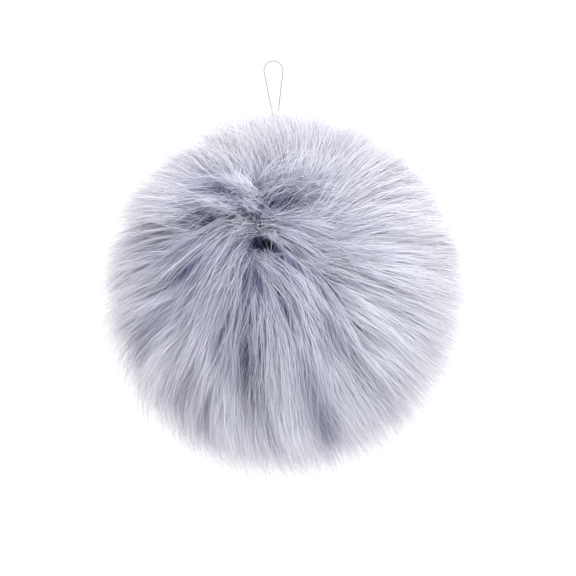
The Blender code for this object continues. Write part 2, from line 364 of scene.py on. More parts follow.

# The shade runs from 0 at the dark root colour to 1 at the pale tip colour, and climbs with a ring's height
# over the backing, so that the pile is darker deep down, partly a painted shade: the fibres' shade at the tip,
# at the root, what the painted light adds at the root on the top and right sides, what is added by the tips'
# and by the roots' angles, and the most.
PALEST = 0.86
ROOT_SHADE = 0.01
PAINTED_LIGHT_ROOTS = 0.80
OUTWARD_ROOTS = 0.34
OUT_ROOTS = 0.12
SHADE_LIMIT = 0.99

# The hairs that stand out furthest, apart from those at the front, have greyer tips: how far out, how far
# round from the front, and by how much, with how much more that is where they face up, and how far up that
# sets in. Their roots are darker too, and their tone goes to a warmer grey.
GREY_REACH = (0.0580, 0.0660)
GREY_SIDE = (-0.80, -0.45)
GREYNESS = 0.14
TOP_GREYER = 0.60
TOP_FACING = (0.35, 0.90)
GREY_ROOTS = 0.25
GREY_TONE = 0.97

# A fibre's tone makes all of it lighter or darker: the middle one, the least and the most, what the painted
# light on the top and right sides and what guard hairs add, how much less it varies on those painted-light
# sides and on calm sides, and how far it runs across a blade.
MIDDLE_TONE = 0.5
LEAST_TONE = 0.03
MOST_TONE = 0.84
PAINTED_LIGHT_TONE = 0.20
GUARD_TONE = 0.2
TONE_EASE = 0.7
TONE_ACROSS = 0.004

# The colours of the tones, and the shades at which a fibre has its body colour and its tip colour.
TONE_STOPS = (
    (0.0, (0.55, 0.55, 0.60)),
    (MIDDLE_TONE, (0.86, 0.86, 0.88)),
    (MOST_TONE, (0.98, 0.98, 1.0)),
    (GREY_TONE, (1.0, 0.985, 0.92)),
)
BODY_SHADE = 0.50
TIP_SHADE = 0.95

# The underfur's wool and the nylon's clouds: how fine they are, and how dark the flecks in the wool and how
# pale the clouds are, as shares of their colour.
WOOL_SCALE = 900.0
FLECK = 0.6
CLOUD_SCALE = 250.0
CLOUD = 1.15

# The loop's route in the plane through its own top, across and up in metres, and in how many steps the curve
# goes from each place to the next.
LOOP_ROUTE = (
    (0.00110, -0.04305),
    (0.00100, -0.03800),
    (0.00075, -0.03100),
    (0.00050, -0.02420),
    (0.00020, -0.02060),
    (-0.00110, -0.01440),
    (-0.00230, -0.00840),
    (-0.00315, -0.00410),
    (-0.00310, -0.00220),
    (-0.00190, -0.00055),
    (0.00000, 0.00000),
    (0.00185, -0.00050),
    (0.00310, -0.00210),
    (0.00325, -0.00410),
    (0.00270, -0.00900),
    (0.00205, -0.01500),
    (0.00155, -0.02060),
    (0.00140, -0.02420),
    (0.00155, -0.03100),
    (0.00175, -0.03800),
    (0.00185, -0.04305),
)
ROUTE_FINENESS = 12

# The camera: where it looks, how far off it stands, how wide it sees there, and its sensor in millimetres.
VIEW_TARGET = (0.0051, 0.0, -0.0790)
VIEW_DISTANCE = 0.90
VIEW_WIDTH = 0.2004
SENSOR_WIDTH = 36.0

# The stage: how large the floor is, and how large the soft lamp is and where it stands.
FLOOR_SIZE = 40.0
KEY_SIZE = 0.5
KEY_PLACE = (0.20, -0.60, 0.85)

# What grows: centre lines, the blades' widths and rolls, tones, and shades from root to tip.
Grown = namedtuple("Grown", "lines widths rolls tones shades")


# --- properties -----------------------------------------------------------------------------------------


def colour_property(name, description, default):
    """A colour in the settings."""
    return FloatVectorProperty(name=name, description=description, default=default, subtype="COLOR",
                               min=0.0, max=1.0)


class PomPomPileSettings(bpy.types.PropertyGroup):
    """How much pile there is, how fine it is, and how it is dyed, its dark root colour partly a painted shade.
    """

    tufts: IntProperty(name="Tufts", description="How many large tufts the pile gathers into",
                       default=420, min=20)
    locks: IntProperty(name="Locks", description="How many small locks the tufts are made of",
                       default=7600, min=50)
    fibres: IntProperty(name="Fibres", description="How many fibres the pile has", default=122000, min=500)
    fibre_width: FloatProperty(name="Fibre Width", description="How wide a fibre's blade is at its widest",
                               default=0.00017, unit="LENGTH", precision=6)
    comb_turn: FloatProperty(name="Comb Turn",
                             description="How far the comb turns a fibre's tip from the crown",
                             default=math.radians(42.0), subtype="ANGLE")
    sway: FloatProperty(name="Sway", description="How far the pile sways to either side as it goes out",
                        default=math.radians(13.0), subtype="ANGLE")
    # The dark navy root colour is partly a painted shade, standing in for the shade deep in the pile and in
    # its gaps.
    root_colour: colour_property("Root Colour", "Colour of the fibres at the backing", (0.024, 0.029, 0.135))
    body_colour: colour_property("Body Colour", "Colour of the fibres half way along", (0.445, 0.445, 0.556))
    tip_colour: colour_property("Tip Colour", "Colour of the fibres' tips", (0.82, 0.822, 0.875))


class PomPomUnderfurSettings(bpy.types.PropertyGroup):
    """The dense short wool that closes the ball under the pile."""

    radius: FloatProperty(name="Radius", description="Radius of the underfur ball", default=0.0400,
                          unit="LENGTH")
    # The wool's dark navy is partly a painted shade: it stands in for the shade deep between the fibres.
    colour: colour_property("Colour", "Colour of the wool at the backing", (0.05, 0.055, 0.18))


class PomPomThreadSettings(bpy.types.PropertyGroup):
    """The nylon line of the hanging loop."""

    diameter: FloatProperty(name="Diameter", description="Thickness of the nylon line", default=0.00035,
                            unit="LENGTH", precision=6)
    colour: colour_property("Colour", "Tint of the nylon", (0.27, 0.27, 0.28))


class PomPomStageSettings(bpy.types.PropertyGroup):
    """The plain pale floor and the soft light."""

    floor_drop: FloatProperty(name="Floor Drop", description="How far the floor lies under the ball",
                              default=0.16, unit="LENGTH")
    sky: FloatProperty(name="Sky", description="Strength of the even white light from all round",
                       default=1.15)
    key: FloatProperty(name="Key", description="Power of the large soft lamp", default=12.0, unit="POWER")


# --- shared forms ---------------------------------------------------------------------------------------


def smooth_step(low, high, value):
    """0 below low, 1 above high, with a soft ramp between."""
    share = np.clip((value - low) / (high - low), 0.0, 1.0)
    return share * share * (3.0 - 2.0 * share)


def unit(vectors):
    """The vectors at length 1."""
    return vectors / np.linalg.norm(vectors, axis=-1, keepdims=True)


def even_directions(count):
    """Directions spread evenly by the golden angle."""
    index = np.arange(count)
    side = 1.0 - (2.0 * index + 1.0) / count
    out = np.sqrt(1.0 - side ** 2)
    turn = index * math.pi * (3.0 - math.sqrt(5.0))
    return np.stack((out * np.cos(turn), side, out * np.sin(turn)), axis=1)


def beside(directions):
    """Two directions square to each given one."""
    helper = np.where(np.abs(directions[:, 2:3]) < STEEP, (0.0, 0.0, 1.0), (1.0, 0.0, 0.0))
    first = unit(np.cross(directions, helper))
    return first, np.cross(directions, first)


def slow_waves(places, draws):
    """A smooth field between about -1 and 1 that varies slowly over the ball."""
    total = np.zeros(places.shape[:-1])
    for _ in range(SWAY_WAVES):
        wave = unit(draws.normal(size=3)) * SWAY_SCALE * draws.uniform(*SWAY_SCALES)
        total += np.sin(places @ wave + draws.uniform(0.0, math.tau))
    return total / (SWAY_WAVES / 2.0)


def ring_places(table):
    """How far along a fibre each of the table's rings lies."""
    return np.array([ring["along"] for ring in table])


# --- the comb -------------------------------------------------------------------------------------------

SEAM_AXIS = unit(np.cross(unit(CROWN_TOP), unit(CROWN_FOOT)))
SEAM_START = unit(CROWN_TOP)
SEAM_AHEAD = np.cross(SEAM_AXIS, SEAM_START)
SEAM_SPAN = math.acos(float(SEAM_START @ unit(CROWN_FOOT)))


def away_from_seam(directions):
    """The seam's nearest point to each direction, the angle from it, and the way that leads off from it."""
    directions = unit(directions)
    bearing = np.arctan2(directions @ SEAM_AHEAD, directions @ SEAM_START) - SEAM_SPAN / 2.0
    bearing = (bearing + math.pi) % math.tau - math.pi
    run = np.clip(bearing + SEAM_SPAN / 2.0, 0.0, SEAM_SPAN)[..., None]
    nearest = np.cos(run) * SEAM_START + np.sin(run) * SEAM_AHEAD
    level = np.clip(np.sum(directions * nearest, axis=-1), -1.0, 1.0)
    away = unit(directions - level[..., None] * nearest + LEAST_AWAY * SEAM_AXIS)
    return nearest, np.arccos(level), away


def comb_turn(angle, height, turn):
    """The turn away from the seam at a height: most a little way from the seam, none at the far pole."""
    strength = smooth_step(*CALM_ANGLES, angle) * (1.0 - np.sin(angle / 2.0))
    return turn * strength * np.maximum(height, 0.0) ** COMB_CURL


def uncombed(directions, turn):
    """The root directions from which the comb spreads the pile evenly."""
    nearest, wanted, away = away_from_seam(directions)
    low = np.zeros_like(wanted)
    high = np.full_like(wanted, math.pi)
    for _ in range(UNCOMB_STEPS):
        middle = (low + high) / 2.0
        short = middle + comb_turn(middle, EVEN_HEIGHT, turn) < wanted
        low = np.where(short, middle, low)
        high = np.where(short, high, middle)
    return nearest * np.cos(low)[:, None] + away * np.sin(low)[:, None]


def combed(directions, height, turn, sway):
    """Places over root directions at heights, 0 at the backing and 1 at the pile's reach."""
    nearest, angle, away = away_from_seam(directions)
    swept_up = smooth_step(*UPSWEEP_RISES, away[:, 2]) * (1.0 - smooth_step(*UPSWEEP_FADES, away[:, 2]))
    swept_up *= smooth_step(*UPSWEEP_RIGHTS, away[:, 0]) * (1.0 - smooth_step(*UPSWEEP_ANGLES, angle))
    side_turn = sway * np.sin(angle) ** 2 + UPSWEEP * swept_up
    side_turn = (side_turn * np.maximum(height, 0.0) ** COMB_CURL)[:, None]
    heading = away * np.cos(side_turn) + np.cross(nearest, away) * np.sin(side_turn)
    swept_angle = (angle + comb_turn(angle, height, turn))[:, None]
    swept = nearest * np.cos(swept_angle) + heading * np.sin(swept_angle)
    dip = CROWN_DIP * (1.0 - smooth_step(0.0, CALM_ANGLES[1], angle))
    radius = BACKING_RADIUS + (PILE_REACH - BACKING_RADIUS) * (1.0 - dip) * height
    places = BALL_CENTRE + swept * radius[:, None]
    places[:, 2] -= DROOP * height ** 2
    return places


def strengths(places, row, spread=1.0):
    """How strongly a parting works at these places, how far off its line each lies, and the way off it."""
    heading = math.radians(row.heading)
    along = np.array((math.cos(heading), 0.0, math.sin(heading)))
    aside = np.array((-along[2], 0.0, along[0]))
    offset = (places - BALL_CENTRE) * MILLIMETRES - np.array((row.across, 0.0, row.up))
    run = offset @ along / (row.length * spread)
    gap = offset @ aside
    strength = np.exp(-run ** 2 - (gap / (row.width * spread)) ** 2)
    return strength * (places[..., 1] < BALL_CENTRE[1]), gap, aside


def small_gaps():
    """The small gaps that are strewn over the front, as partings."""
    draws = np.random.default_rng(GAP_SEED)
    rows = []
    for _ in range(GAPS):
        heading = draws.uniform(*GAP_HEADINGS)
        distance = draws.uniform(*GAP_DISTANCES)
        rows.append(Parting(
            across=CROWN_SPOT[0] + distance * math.cos(math.radians(heading)),
            up=CROWN_SPOT[1] + distance * math.sin(math.radians(heading)),
            heading=heading + draws.normal(scale=GAP_TURN),
            length=draws.uniform(*GAP_LENGTHS),
            width=draws.uniform(*GAP_WIDTHS),
            depth=draws.uniform(*GAP_DEPTHS),
            push=GAP_PUSH,
        ))
    return tuple(rows)


ALL_PARTINGS = PARTINGS + small_gaps()


def parting_push(places, spread):
    """How far the partings push aside the pile that passes these places."""
    push = np.zeros_like(places)
    for row in ALL_PARTINGS:
        strength, gap, aside = strengths(places, row, spread)
        push += aside * (np.sign(gap) * strength * row.push / MILLIMETRES)[..., None]
    return push


def parting_depth(places):
    """How deep in the partings these places lie, 0 outside them."""
    depth = np.zeros(places.shape[:-1])
    for row in ALL_PARTINGS:
        depth = np.maximum(depth, row.depth * strengths(places, row)[0])
    return depth


def ring_depths(lines):
    """How deep in the partings each line lies at each ring, half of the steps on either side included."""
    shares = np.arange(DEPTH_STEPS)[None, None, :, None] / DEPTH_STEPS
    fine = lines[:, :-1, None] * (1.0 - shares) + lines[:, 1:, None] * shares
    fine = np.concatenate((fine.reshape(len(lines), -1, 3), lines[:, -1:]), axis=1)
    front = lines[:, :, 1].min(axis=1) < BALL_CENTRE[1]
    depth = np.zeros(fine.shape[:2])
    depth[front] = parting_depth(fine[front])
    half = DEPTH_STEPS // 2
    rings = []
    for middle in range(0, depth.shape[1], DEPTH_STEPS):
        rings.append(depth[:, max(middle - half, 0):middle + half + 1].max(axis=1))
    return np.stack(rings, axis=1)


def shades(along, length, start, end, lines):
    """How far each ring of each fibre is from the dark root colour to the pale tip colour, darkened in the
    partings as a painted shade.
    """
    start = start[:, None]
    run = start + (end - start) * along * length[:, None]
    return np.clip(run * (1.0 - PAINTED_PARTING_SHADE * ring_depths(lines)), 0.0, SHADE_LIMIT)


# --- the pile -------------------------------------------------------------------------------------------


def scattered(parents, count, spread, draws):
    """Root directions scattered round parent directions, and the index of each one's parent."""
    owner = np.arange(count) % len(parents)
    first, second = beside(parents[owner])
    far = spread * np.sqrt(draws.uniform(size=count))
    round_ = draws.uniform(0.0, math.tau, count)
    aside = first * (far * np.cos(round_))[:, None]
    return unit(parents[owner] + aside + second * (far * np.sin(round_))[:, None]), owner


def drawn_back(lines, draws):
    """The lines, with those whose tips stand too far out drawn back towards their roots."""
    roots = lines[:, :1]
    low = np.linalg.norm(roots[:, 0] - BALL_CENTRE, axis=1)
    high = np.linalg.norm(lines[:, -1] - BALL_CENTRE, axis=1)
    most = draws.uniform(*MOST_REACH, len(lines))
    share = np.minimum(1.0, (most - low) / np.maximum(high - low, LEAST_RISE))
    return roots + (lines - roots) * share[:, None, None]


def plant(pile, draws):
    """Root directions of the tufts, the locks and the fibres, each lock's tuft and each fibre's lock."""
    planted = []
    for kind, count in ((TUFT_KIND, pile.tufts), (LOCK_KIND, pile.locks)):
        nudge = draws.normal(scale=kind["nudge"], size=(count, 3))
        planted.append(uncombed(unit(even_directions(count) + nudge), pile.comb_turn))
    tufts, locks = planted
    spacing = math.sqrt(4.0 * math.pi / pile.locks)
    fibres, lock_of = scattered(locks, pile.fibres, spacing * ROOT_SPREAD, draws)
    return tufts, locks, fibres, np.argmax(locks @ tufts.T, axis=1), lock_of


def fibre_lengths(fibres, far, draws):
    """How long each fibre is for its lock, and which fibres are guard hairs."""
    count = len(fibres)
    near_length = np.clip(1.0 + NEAR_SPREAD * draws.normal(size=count), *NEAR_LENGTHS)
    guard = draws.uniform(size=count) < GUARD_SHARE
    near_length[guard] *= draws.uniform(*GUARD_LENGTHS, guard.sum())
    far_length = FAR_SHORTEST + FAR_TRAIL * draws.exponential(size=count)
    full = 1.0 + FULLNESS * smooth_step(*FULL_FACING, fibres @ unit(np.array(FULL_SIDE)))
    return (near_length * (1.0 - far) + far_length * far) * full, guard


def tip_leans(pile, fibres, tuft_of, lock_of, loose, draws):
    """How far each fibre's tip leans out of its place, and which fibres are strays."""
    lean = (TUFT_KIND["lean"] * draws.normal(size=(pile.tufts, 3))[tuft_of] * loose
            + LOCK_KIND["lean"] * draws.normal(size=(pile.locks, 3)) * loose)[lock_of]
    stray = draws.uniform(size=pile.fibres) < STRAY_SHARE
    straight = smooth_step(*LEAN_ANGLES, away_from_seam(fibres)[1])
    frizz = np.where(stray, STRAY_LEAN, 1.0) * (1.0 + LEAN_FRIZZ * (1.0 - straight))
    return lean + FIBRE_LEAN * draws.normal(size=(pile.fibres, 3)) * frizz[:, None], stray


def painted_light_and_grey(lines, tips):
    """How much paler each fibre is painted on the top and right sides, a painted light, and how grey each tip
    is.
    """
    pale = np.zeros(len(lines))
    for side in PAINTED_LIGHT_SIDES:
        facing = tips @ unit(np.array(side["facing"]))
        pale = np.maximum(pale, side["by"] * smooth_step(side["from"], side["to"], facing))
    grey = smooth_step(*GREY_REACH, np.linalg.norm(lines[:, -1] - BALL_CENTRE, axis=1))
    return pale, grey * smooth_step(*GREY_SIDE, tips[:, 1])


def grow_fibres(pile):
    """All the fibres of the combed pile."""
    draws = np.random.default_rng(PILE_SEED)
    tufts, locks, fibres, tuft_of, lock_of = plant(pile, draws)
    angle = away_from_seam(fibres)[1]
    far_tuft = smooth_step(*LOOSE_ANGLES, away_from_seam(tufts)[1])
    far_lock = smooth_step(*LOOSE_ANGLES, away_from_seam(locks)[1])
    far = far_lock[lock_of]
    calm = smooth_step(*CALM_FACING, locks @ unit(np.array(CALM_SIDE)))
    calm_fibre = calm[lock_of]

    ease = 1.0 - FAR_EASE["tuft_length"] * far_tuft
    tuft_length = 1.0 + draws.uniform(*TUFT_KIND["lengths"], pile.tufts) * ease
    ease = 1.0 - FAR_EASE["lock_length"] * far_lock
    lock_length = 1.0 + draws.uniform(*LOCK_KIND["lengths"], pile.locks) * ease
    fibre_length, guard = fibre_lengths(fibres, far, draws)
    loose = ((1.0 - FAR_EASE["lean"] * far_lock) * (1.0 - CALM_EASE["lean"] * calm))[:, None]
    lean, stray = tip_leans(pile, fibres, tuft_of, lock_of, loose, draws)
    fibre_length[stray] *= STRAY_LENGTH
    length = (tuft_length[tuft_of] * lock_length)[lock_of] * fibre_length

    lock_turn = pile.comb_turn * draws.uniform(*LOCK_KIND["turns"], pile.locks)
    lock_turn = lock_turn * draws.uniform(*TUFT_KIND["turns"], pile.tufts)[tuft_of]
    lock_sway = pile.sway * slow_waves(locks, draws)
    lock_gather = draws.uniform(*LOCK_GATHERS, pile.locks) * (1.0 - FAR_EASE["lock_gather"] * far_lock)
    lock_gather = lock_gather * (1.0 - CALM_EASE["lock_gather"] * calm)
    gather = np.where(stray, STRAY_GATHER, lock_gather[lock_of])
    tuft_gather = TUFT_GATHER * (1.0 - FAR_EASE["tuft_gather"] * far_lock)
    tuft_gather = (tuft_gather * (1.0 - CALM_EASE["tuft_gather"] * calm))[lock_of]
    passing = combed(locks, np.full(pile.locks, PUSH_HEIGHT), lock_turn, lock_sway)
    push = parting_push(passing, PUSH_SPREAD)

    tuft_dirs = tufts[tuft_of][lock_of]
    lock_dirs = locks[lock_of]
    near = 1.0 - smooth_step(*FRIZZ_ANGLES, angle)
    crimp = draws.normal(size=(pile.fibres, len(BLADE_RINGS), 3)) * (CRIMP * (1.0 + near))[:, None, None]
    along = ring_places(BLADE_RINGS)

    def lines_of(length):
        """The fibres' centre lines at these lengths."""
        lines = []
        for number, share in enumerate(along):
            height = ROOT_HEIGHT + (length - ROOT_HEIGHT) * share
            toward_tuft = (tuft_gather * share ** TUFT_CURVE)[:, None]
            toward_lock = (gather * share ** LOCK_CURVE)[:, None]
            heading = (tuft_dirs + (lock_dirs - tuft_dirs) * (1.0 - toward_tuft)
                       + (fibres - lock_dirs) * (1.0 - toward_lock))
            places = combed(heading, height, lock_turn[lock_of], lock_sway[lock_of])
            places += lean * share ** LEAN_CURVE + crimp[:, number]
            lines.append(places + push[lock_of] * (height ** 2)[:, None])
        return np.stack(lines, axis=1)

    loss = ring_depths(lines_of(length))[:, FIRST_CUT_RING:].max(axis=1)
    lines = drawn_back(lines_of(length * (1.0 - loss)), draws)

    tips = unit(lines[:, -1] - BALL_CENTRE)
    # Painted light: fibres on the top and right sides are painted paler at the root and in tone, where the
    # light falls.
    pale, grey = painted_light_and_grey(lines, tips)
    out = smooth_step(*PALE_ANGLES, angle)
    outward = smooth_step(*OUTWARD_ANGLES, away_from_seam(tips)[1])
    start = ROOT_SHADE + PAINTED_LIGHT_ROOTS * pale + (OUTWARD_ROOTS * outward + OUT_ROOTS * out) * (1.0 - pale)
    start *= 1.0 - GREY_ROOTS * grey
    greyer = 1.0 + TOP_GREYER * smooth_step(*TOP_FACING, tips[:, 2])
    end = (PALEST - GREYNESS * greyer * grey - CALM_FLATNESS * calm_fibre * (1.0 - grey))[:, None]

    tone = (TUFT_KIND["tone"] * draws.normal(size=pile.tufts)[tuft_of][lock_of]
            + LOCK_KIND["tone"] * draws.normal(size=pile.locks)[lock_of]
            + FIBRE_TONE_SPREAD * draws.normal(size=pile.fibres))
    tone = tone * (1.0 - TONE_EASE * np.maximum(pale, calm_fibre))
    tone = MIDDLE_TONE + PAINTED_LIGHT_TONE * pale + GUARD_TONE * guard * out + tone
    tone = np.clip(tone, LEAST_TONE, MOST_TONE)
    tone += (GREY_TONE - tone) * grey
    width = pile.fibre_width * draws.uniform(*FIBRE_WIDTHS, pile.fibres)
    width *= 1.0 - GUARD_FINENESS * guard * out
    width *= 1.0 + CALM_WIDTH * calm_fibre
    roll = draws.normal(scale=ROLL, size=pile.fibres) * (1.0 - CALM_EASE["roll"] * calm_fibre)
    # Shorter fibres reach less far up the shade ramp, so the low pile stays darker: partly a painted shade of
    # the deep pile.
    shade_length = (length * (1.0 - loss)) ** (1.0 - FAR_SHADE * far)
    return Grown(lines, width, roll, tone, shades(along, shade_length, start, end, lines))


def lay_tuft(row, along, draws):
    """Centre lines, tones and root shades of the fibres in one laid tuft."""
    start, end = np.array(row.leaves) / MILLIMETRES, np.array(row.ends) / MILLIMETRES
    opened = np.array(row.opens) / MILLIMETRES
    way = (end - start) / np.linalg.norm(end - start)
    aside = np.array((-way[1], way[0]))
    count = row.locks
    place = draws.uniform(-1.0, 1.0, count)
    reach = np.clip(draws.normal(*LAID_LOCK_LENGTH, count), *LAID_LOCK_LENGTHS)
    first = start + aside * (place * opened[0])[:, None]
    first = first + way * draws.normal(scale=LAID_ROOT_SCATTER, size=(count, 1))
    last = start + (end - start) * reach[:, None] + aside * (place * opened[1] * reach)[:, None]
    last += draws.normal(scale=LAID_TIP_SCATTER, size=(count, 2))
    middle = (first + last) / 2.0 + aside * (row.bow / MILLIMETRES)

    owner = np.repeat(np.arange(count), LAID_FIBRES_A_LOCK)
    total = len(owner)
    share = np.clip(draws.normal(*LAID_FIBRE_LENGTH, total), *LAID_FIBRE_LENGTHS)[:, None] * along
    flat = (first[owner][:, None] * ((1.0 - share) ** 2)[..., None]
            + middle[owner][:, None] * (2.0 * share * (1.0 - share))[..., None]
            + last[owner][:, None] * (share ** 2)[..., None])
    stray = np.where(draws.uniform(size=total) < STRAY_SHARE, LAID_STRAY_LEAN, 1.0)[:, None, None]
    lock_width = (1.0 - LAID_LOCK_GATHER * along ** LOCK_CURVE)[None, :, None]
    tip_spread = (along ** TIP_CURVE)[None, :, None]
    belly = np.sin(math.pi * along)[None, :, None]
    spread = LAID_LOCK_WIDTH * draws.normal(size=(total, 1, 3)) * lock_width
    spread = spread + LAID_TIP_SPREAD * draws.normal(size=(total, 1, 3)) * tip_spread * stray
    spread = spread + LAID_CRIMP * draws.normal(size=(total, len(along), 3))
    spread = spread + LAID_BELLY * draws.normal(size=(total, 1, 3)) * belly

    run = share.clip(0.0, 1.0)
    radius = PILE_REACH - LAID_SINK + row.rise / MILLIMETRES * np.sin(run * math.pi * LAID_ARCH)
    radius = radius - row.root / MILLIMETRES * (1.0 - run) ** LAID_DIVE
    front = np.sqrt(np.maximum(radius ** 2 - (flat ** 2).sum(axis=-1), 0.0))
    lines = np.stack((flat[..., 0], -front, flat[..., 1]), axis=-1) + spread + BALL_CENTRE
    lines += LAID_PUSH_SHARE * parting_push(lines, LAID_PUSH_SPREAD)
    tone = MIDDLE_TONE + row.tone + LAID_TONE_SPREAD * draws.normal(size=count)[owner]
    tone = tone + LAID_TONE_SPREAD * draws.normal(size=total)
    return lines, tone, np.full(total, row.start)


def lay_tufts(pile):
    """All the fibres of the tufts that are laid over the front."""
    draws = np.random.default_rng(LAID_SEED)
    along = ring_places(LAID_RINGS)
    laid = [lay_tuft(row, along, draws) for row in LAID_TUFTS]
    lines, tone, start = (np.concatenate(values) for values in zip(*laid))
    width = pile.fibre_width * draws.uniform(*FIBRE_WIDTHS, len(lines))
    roll = draws.normal(scale=ROLL, size=len(lines))
    shade = shades(along, np.ones(len(lines)), start, LAID_PALEST, lines)
    return Grown(lines, width, roll, np.clip(tone, LEAST_TONE, MOST_TONE), shade)


def tangle(row, along, draws):
    """Centre lines and shades of one row's loose wisps."""
    count = row["count"]
    run = draws.uniform(*WISP_RUNS, count) * SEAM_SPAN
    roots = np.cos(run)[:, None] * SEAM_START + np.sin(run)[:, None] * SEAM_AHEAD
    roots = unit(roots + math.radians(row["spread"]) * draws.normal(size=(count, 3)))
    away = away_from_seam(roots)[2]
    turn = (math.radians(row["turn"]) * draws.normal(size=count))[:, None]
    ahead = away * np.cos(turn) + np.cross(roots, away) * np.sin(turn)
    outward = row["rise"] * draws.uniform(*WISP_RISES, count)[:, None]
    long = draws.uniform(*row["lengths"], count)[:, None]
    low = draws.uniform(*row["roots"], count)[:, None]
    bend = np.cross(roots, ahead) * draws.normal(scale=WISP_BEND, size=(count, 1))
    rings = []
    for share in along:
        rise = outward * long * (share - WISP_FALL * share ** 2)
        heading = unit(roots * low + ahead * long * share + bend * long * share ** 2)
        rings.append(BALL_CENTRE + heading * (low + rise) + CRIMP * draws.normal(size=(count, 3)))
    shade = row["start"] + (PALEST - row["start"]) * np.tile(along, (count, 1))
    return np.stack(rings, axis=1), shade


def tangle_wisps(pile):
    """The loose wisps in the seam and round it, apart from those that would lie deep in a parting."""
    draws = np.random.default_rng(WISP_SEED)
    along = ring_places(BLADE_RINGS)
    tangled = [tangle(row, along, draws) for row in WISPS]
    lines, shade = (np.concatenate(values) for values in zip(*tangled))
    kept = parting_depth(lines).max(axis=1) < draws.uniform(*WISP_DEPTHS, len(lines))
    lines = lines[kept]
    total = len(lines)
    tone = np.clip(WISP_TONE[0] + WISP_TONE[1] * draws.normal(size=total), *WISP_TONES)
    width = pile.fibre_width * draws.uniform(*WISP_WIDTHS, total)
    roll = draws.normal(scale=ROLL, size=total)
    # Painted shade: wisps that pass through a parting are darkened there.
    shade = shade[kept] * (1.0 - WISP_PAINTED_PARTING_SHADE * ring_depths(lines))
    return Grown(lines, width, roll, tone, shade)


def blade_sides(lines, roll):
    """Across-the-blade directions at every ring, rolled about the fibre."""
    ahead = np.empty_like(lines)
    ahead[:, 1:-1] = lines[:, 2:] - lines[:, :-2]
    ahead[:, 0] = lines[:, 1] - lines[:, 0]
    ahead[:, -1] = lines[:, -1] - lines[:, -2]
    ahead = unit(ahead)
    side = unit(np.cross(ahead, lines - BALL_CENTRE))
    flat = np.cross(ahead, side)
    return side * np.cos(roll)[:, None, None] + flat * np.sin(roll)[:, None, None]


def blade_mesh(name, table, grown):
    """One mesh of joined blades, each with its tone and its shade from root to tip as its UVs."""
    lines = grown.lines
    count, rings = lines.shape[:2]
    widths = np.array([ring["width"] for ring in table])
    half = widths[None, :, None] * grown.widths[:, None, None] / 2.0
    sides = blade_sides(lines, grown.rolls)
    left = lines - sides * half
    right = lines + sides * half
    points = np.empty((count, 2 * rings - 1, 3))
    points[:, 0:-1:2] = left[:, :-1]
    points[:, 1::2] = right[:, :-1]
    points[:, -1] = lines[:, -1]
    quads = np.array([(2 * i, 2 * i + 1, 2 * i + 3, 2 * i + 2) for i in range(rings - 2)]).ravel()
    tip = np.array((2 * rings - 4, 2 * rings - 3, 2 * rings - 2))
    one = np.concatenate((quads, tip))
    corners = (one[None, :] + (np.arange(count) * (2 * rings - 1))[:, None]).ravel()
    sizes = np.tile(np.array([4] * (rings - 2) + [3]), count)
    starts = np.concatenate(([0], np.cumsum(sizes)[:-1]))
    mesh = bpy.data.meshes.new(name)
    mesh.vertices.add(points.shape[0] * points.shape[1])
    mesh.vertices.foreach_set("co", points.astype(np.float32).ravel())
    mesh.loops.add(len(corners))
    mesh.loops.foreach_set("vertex_index", corners.astype(np.int32))
    mesh.polygons.add(len(sizes))
    mesh.polygons.foreach_set("loop_start", starts.astype(np.int32))
    mesh.polygons.foreach_set("loop_total", sizes.astype(np.int32))
    mesh.update(calc_edges=True)
    ring_of = np.concatenate((np.repeat(np.arange(rings - 1), 2), (rings - 1,)))
    across = np.concatenate((np.tile((-1.0, 1.0), rings - 1), (0.0,)))
    uv = np.empty((count, len(one), 2))
    uv[:, :, 0] = grown.tones[:, None] + across[one][None, :] * TONE_ACROSS
    uv[:, :, 1] = grown.shades[:, ring_of[one]]
    layer = mesh.uv_layers.new(name="OFBake")
    layer.data.foreach_set("uv", uv.astype(np.float32).ravel())
    mesh.shade_smooth()
    return mesh


# --- the thread -----------------------------------------------------------------------------------------


def smooth_route(route):
    """Points close together on a smooth curve through the route's places."""
    places = np.array([(across, 0.0, up) for across, up in route])
    places = np.vstack((2.0 * places[0] - places[1], places, 2.0 * places[-1] - places[-2]))
    points = []
    for i in range(1, len(places) - 2):
        before, start, end, after = places[i - 1:i + 3]
        straight = end - before
        bend = 2.0 * before - 5.0 * start + 4.0 * end - after
        twist = 3.0 * start - before - 3.0 * end + after
        for share in np.arange(ROUTE_FINENESS) / ROUTE_FINENESS:
            points.append(0.5 * (2.0 * start + straight * share + bend * share ** 2 + twist * share ** 3))
    points.append(places[-2])
    return points


# --- materials ------------------------------------------------------------------------------------------


def new_material(name):
    """A material, its node tree and its Principled shader."""
    material = bpy.data.materials.new(name)
    material.use_nodes = True
    tree = material.node_tree
    return material, tree, tree.nodes["Principled BSDF"]


def ramp(tree, stops):
    """A colour ramp through (place, colour) stops."""
    node = tree.nodes.new("ShaderNodeValToRGB")
    node.color_ramp.interpolation = "EASE"
    while len(node.color_ramp.elements) < len(stops):
        node.color_ramp.elements.new(0.5)
    for element, (place, colour) in zip(node.color_ramp.elements, stops):
        element.position = place
        element.color = (*colour, 1.0)
    return node


def mottled(tree, shader, scale, stops):
    """Tint the shader by a fine mottling through the stops, and return the mottling."""
    place = tree.nodes.new("ShaderNodeTexCoord")
    mottling = tree.nodes.new("ShaderNodeTexNoise")
    mottling.inputs["Scale"].default_value = scale
    tree.links.new(place.outputs["Object"], mottling.inputs["Vector"])
    tint = ramp(tree, stops)
    tree.links.new(mottling.outputs["Fac"], tint.inputs["Fac"])
    tree.links.new(tint.outputs["Color"], shader.inputs["Base Color"])
    return mottling


